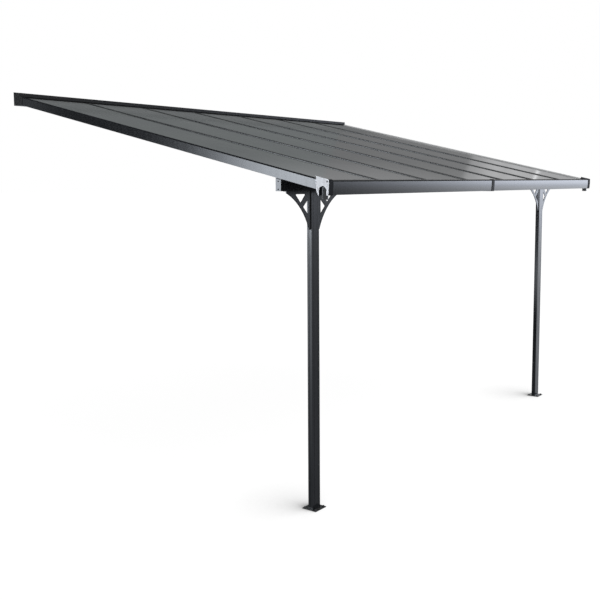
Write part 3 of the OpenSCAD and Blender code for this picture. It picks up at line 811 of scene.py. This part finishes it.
# Stops of (direction, strength) of what stands round the object
WINDOW_LEVELS = [(10, 0.46), (16, 0.5), (17.8, 0.55), (17.87, 1.3), (17.99, 1.3), (18.06, 0.57), (19.6, 0.63),
                 (20.4, 0.56), (21.0, 0.62), (21.7, 0.56), (22.4, 0.46), (23.0, 0.42), (23.4, 0.24), (34, 0.2)]
BACK_LEVELS = [(34, 0.2), (60, 0.18), (160, 0.17), (168, 1.0), (215, 1.0)]
WALL_LEVELS = [(64, 0.18), (72, 1.0), (112, 1.0), (120, 0.18)]
DARK_LEVELS = [(-62, 0.14), (10, 0.14)]
LEFT_LEVELS = [(110, 4.0), (122, 4.0), (125.9, 0.05), (132, 0.08), (133.5, 0.2), (134.5, 0.5), (135.5, 1.4), (136.5, 2.8), (137.6, 4.9),
               (138.7, 7.3), (139.7, 9.2), (141.9, 11.6), (146.5, 11.6), (149.5, 0.2), (159, 0.16), (166, 4.0), (180, 4.0)]
RIGHT_LEVELS = [(-75, 2.6), (-65, 2.6), (-62, 0.5), (-42, 0.68), (-38, 0.87), (-36, 1.12), (-34.5, 1.66), (-32.8, 2.2), (-29.6, 3.2), (-26.5, 4.55),
                (-23.4, 4.9), (-22, 4.5), (-21, 4.1), (10, 3.6)]
# Stops of (distance from the mirrored camera, share of that strength) on the floor below them
LEFT_FLOOR = [(5.5, 0.036), (6.3, 0.057), (8.0, 0.094), (11.0, 0.19), (18.0, 0.24), (30.0, 0.31)]
RIGHT_FLOOR = [(5.5, 0.14), (6.3, 0.19), (8.0, 0.20), (9.0, 0.21), (11.0, 0.27), (16.3, 0.33), (19.2, 0.40),
               (24.0, 0.45), (27.0, 0.51), (30.0, 0.60)]
LEFT_TINT, RIGHT_TINT, MAT_TINT = (0.86, 0.92, 1.0), (0.83, 0.885, 1.0), (0.89, 0.93, 1.0)


def bearing(build, x, y, centre):
    """The direction of a point from a centre, in degrees from +X towards +Y, -90 to 270."""
    turn = build.math("ARCTAN2", build.math("SUBTRACT", y, centre[1]), build.math("SUBTRACT", x, centre[0]))
    degrees = build.math("MULTIPLY", turn, 180 / pi)
    return build.math("ADD", degrees, build.math("MULTIPLY", build.math("LESS_THAN", degrees, -90.0), 360.0))


def stops(build, value, levels):
    """Straight lines between the (value, strength) stops."""
    (v0, s0), (v1, s1) = levels[:2]
    total = build.ramp(value, v0, v1, s0, s1, smooth=False)
    for (v0, s0), (v1, s1) in zip(levels[1:-1], levels[2:]):
        total = build.math("ADD", total, build.ramp(value, v0, v1, 0.0, s1 - s0, smooth=False))
    return total


def studio_card(name, azimuths, heights, levels, centre, tint, radius=CARD_R, foot=0.3, fade=1.5):
    """A tall curved card far off round the object: x = R cos a, y = R sin a + centre, z = R tan e.

    azimuths and heights are in degrees, azimuths from +X towards +Y. levels is a list of
    (direction from centre, strength) stops. Over its lowest degrees, as many as fade, the card
    fades to the share of foot.
    """
    a = np.radians(np.linspace(azimuths[0], azimuths[1], 61))
    e = np.radians(np.linspace(heights[0], heights[1], 9))
    aa, ee = np.meshgrid(a, e, indexing="ij")
    pts = np.stack([radius * np.cos(aa), radius * np.sin(aa) + RING_CENTRE_Y,
                    radius * np.tan(ee) + EYE[2]], axis=-1).reshape(-1, 3)
    index = np.arange(aa.size).reshape(aa.shape)
    faces = np.stack([index[:-1, :-1], index[:-1, 1:], index[1:, 1:], index[1:, :-1]], axis=-1).reshape(-1, 4)
    card = mesh_piece(name, pts, faces)
    material = bpy.data.materials.new(name)
    material.use_nodes = True
    tree = material.node_tree
    tree.nodes.clear()
    b = Nodes(tree)
    place = b.add("ShaderNodeSeparateXYZ")
    b.link(b.add("ShaderNodeTexCoord").outputs["Object"], place.inputs[0])
    total = stops(b, bearing(b, place.outputs["X"], place.outputs["Y"], centre), levels)
    lift = b.math("DIVIDE", b.math("SUBTRACT", place.outputs["Z"], EYE[2]), radius)
    edge = b.ramp(lift, tan(radians(heights[0])), tan(radians(heights[0] + fade)), foot, 1.0)
    glow = b.add("ShaderNodeEmission", Color=(*tint, 1))
    b.link(b.math("MULTIPLY", total, edge), glow.inputs["Strength"])
    out = b.add("ShaderNodeOutputMaterial")
    b.link(glow.outputs[0], out.inputs["Surface"])
    card.data.materials.append(material)
    glossy_only(card)


def floor_mat():
    """A mat round the feet that only reflections see, so that the posts darken downwards.

    It carries each softbox on over the floor: behind the posts its strength is that of the left one
    in the same direction from IN_SIDE, times a share that grows with the distance from there, and
    before the posts that of the right one, in the same way from IN_FRONT.
    """
    ground = cad_box[0][2] + 0.004
    reach, post_y = CARD_R - 0.05, -2.6
    a = np.radians(np.arange(0, 360, 6))
    ring = np.column_stack([reach * np.cos(a), reach * np.sin(a) + RING_CENTRE_Y, np.full(len(a), ground)])
    mat = mesh_piece("dim_floor_mat", ring, [list(range(len(a)))])
    material = bpy.data.materials.new("dim_floor_mat")
    material.use_nodes = True
    tree = material.node_tree
    tree.nodes.clear()
    b = Nodes(tree)
    spot = b.add("ShaderNodeTexCoord").outputs["Object"]
    place = b.add("ShaderNodeSeparateXYZ")
    b.link(spot, place.inputs[0])
    x, y = place.outputs["X"], place.outputs["Y"]
    strengths = []
    for centre, levels, shares in ((IN_FRONT, RIGHT_LEVELS, RIGHT_FLOOR), (IN_SIDE, LEFT_LEVELS, LEFT_FLOOR)):
        gap = b.add("ShaderNodeVectorMath", operation="DISTANCE")
        b.link(spot, gap.inputs[0])
        gap.inputs[1].default_value = (*centre, ground)
        level = stops(b, bearing(b, x, y, centre), levels)
        strengths.append(b.math("MULTIPLY", level, stops(b, gap.outputs["Value"], shares)))
    glow = b.add("ShaderNodeEmission")
    behind = b.math("GREATER_THAN", y, post_y)
    b.link(b.mix_number(behind, *strengths), glow.inputs["Strength"])
    b.link(b.mix_colour(behind, MAT_TINT, LEFT_TINT), glow.inputs["Color"])
    out = b.add("ShaderNodeOutputMaterial")
    b.link(glow.outputs[0], out.inputs["Surface"])
    mat.data.materials.append(material)
    glossy_only(mat)


def seen_white(build, path):
    """1 for camera, glossy and transmission rays, which see the white backdrop."""
    both = build.math("MAXIMUM", path.outputs["Is Camera Ray"], path.outputs["Is Glossy Ray"])
    return build.math("MAXIMUM", both, path.outputs["Is Transmission Ray"])


def build_world():
    """White behind the object, and an even pale light on it."""
    world = bpy.data.worlds.new("pale_studio")
    bpy.context.scene.world = world
    world.use_nodes = True
    tree = world.node_tree
    tree.nodes.clear()
    b = Nodes(tree)
    path = b.add("ShaderNodeLightPath")
    sky = b.add("ShaderNodeBackground", Color=(1, 1, 1, 1))
    b.link(b.math("ADD", b.math("MULTIPLY", seen_white(b, path), 0.3), 0.7), sky.inputs["Strength"])
    out = b.add("ShaderNodeOutputWorld")
    b.link(sky.outputs[0], out.inputs["Surface"])


def build_floor():
    """A wide pale floor. The camera sees it lifted to white, with the soft shadows at the feet."""
    ground = cad_box[0][2]
    half = 120.0
    pts = np.array([[-half, -half, ground], [half, -half, ground], [half, half, ground], [-half, half, ground]])
    floor = mesh_piece("studio_floor", pts, [[0, 1, 2, 3]])
    material = bpy.data.materials.new("pale_floor")
    material.use_nodes = True
    tree = material.node_tree
    tree.nodes.clear()
    b = Nodes(tree)
    matt = b.add("ShaderNodeBsdfDiffuse", Color=(0.5, 0.5, 0.5, 1))
    faint = b.add("ShaderNodeBsdfDiffuse", Color=(0.12, 0.12, 0.12, 1))
    # Looks towards the light on the garden side, so that it darkens behind each foot
    towards = b.add("ShaderNodeCombineXYZ", X=0.2, Y=-0.72, Z=0.66)
    contact = b.add("ShaderNodeAmbientOcclusion", samples=16, Distance=0.6)
    b.link(towards.outputs[0], contact.inputs["Normal"])
    shade = b.ramp(contact.outputs["AO"], 0.55, 0.995, 0.3, 1.0, smooth=False)
    glow = b.add("ShaderNodeEmission", Color=(1, 1, 1, 1))
    b.link(b.math("MULTIPLY", shade, 0.93), glow.inputs["Strength"])
    white = b.add("ShaderNodeAddShader")
    b.link(faint.outputs[0], white.inputs[0])
    b.link(glow.outputs[0], white.inputs[1])
    choice = b.add("ShaderNodeMixShader")
    b.link(seen_white(b, b.add("ShaderNodeLightPath")), choice.inputs[0])
    b.link(matt.outputs[0], choice.inputs[1])
    b.link(white.outputs[0], choice.inputs[2])
    # Seen from below, the floor isn't in the way
    one_sided = b.add("ShaderNodeMixShader")
    b.link(b.add("ShaderNodeNewGeometry").outputs["Backfacing"], one_sided.inputs[0])
    b.link(choice.outputs[0], one_sided.inputs[1])
    b.link(b.add("ShaderNodeBsdfTransparent").outputs[0], one_sided.inputs[2])
    out = b.add("ShaderNodeOutputMaterial")
    b.link(one_sided.outputs[0], out.inputs["Surface"])
    floor.data.materials.append(material)


def build_key_light():
    """A broad soft light from the garden side."""
    lamp = bpy.data.lights.new("garden_light", "SUN")
    lamp.energy = 1.4
    lamp.angle = radians(35)
    holder = bpy.data.objects.new("garden_light", lamp)
    bpy.context.scene.collection.objects.link(holder)
    holder.rotation_euler = (radians(40), 0, radians(4))


def build_camera():
    """The photograph's camera: place, turn from +Y towards +X, tilt, roll, and the lens in pixels."""
    turn, tilt, roll = radians(53.8198), radians(-6.0117), radians(-0.1365)
    focal_px, middle_px, frame_px = 856.86, (329.35, 269.97), 600
    forward = np.array([sin(turn) * cos(tilt), cos(turn) * cos(tilt), sin(tilt)])
    right = np.array([cos(turn), -sin(turn), 0])
    up = np.cross(right, forward)
    right, up = right * cos(roll) + up * sin(roll), up * cos(roll) - right * sin(roll)
    data = bpy.data.cameras.new("photo_camera")
    data.sensor_width = 36
    data.lens = focal_px * 36 / frame_px
    data.shift_x = (frame_px / 2 - middle_px[0]) / frame_px
    data.shift_y = (middle_px[1] - frame_px / 2) / frame_px
    camera = bpy.data.objects.new("photo_camera", data)
    pose = Matrix.Identity(4)
    for i, axis in enumerate((right, up, -forward)):
        for k in range(3):
            pose[k][i] = axis[k]
    pose.translation = EYE
    camera.matrix_world = pose
    bpy.context.scene.collection.objects.link(camera)
    bpy.context.scene.camera = camera


build_camera()
finish_nodes()
for panel in PANELS:
    hollow_panel(panel)
build_gutter()
build_roof_details()
build_anchors()
build_plate_screws()
build_bracket_screws()
build_world()
build_floor()
build_key_light()
floor_mat()
# Round the back it is dark, but for a window's light far to the right
studio_card("window_light", (10, 34), (-4, 70), WINDOW_LEVELS, (0, RING_CENTRE_Y), (0.985, 0.985, 1.0),
            radius=CARD_R + 2)
studio_card("dark_back_flag", (34, 215), (-4, 70), BACK_LEVELS, (0, RING_CENTRE_Y), (0.94, 1.0, 1.015),
            radius=CARD_R + 2)
studio_card("pale_back_wall", (64, 120), (-4, 12), WALL_LEVELS, (0, RING_CENTRE_Y), (1.0, 1.0, 1.0),
            radius=CARD_R + 1.5, foot=1.0)
studio_card("dark_front_flag", (-62, 10), (12, 60), DARK_LEVELS, IN_FRONT, (1.0, 1.0, 1.0), foot=1.0)
studio_card("left_softbox", (126, 168), (-4.5, 22), LEFT_LEVELS, IN_SIDE, LEFT_TINT)
studio_card("right_softbox", (-62, 10), (-4.4, 12), RIGHT_LEVELS, IN_FRONT, RIGHT_TINT, foot=0.6, fade=3.8)

bpy.context.scene.view_settings.view_transform = "Standard"
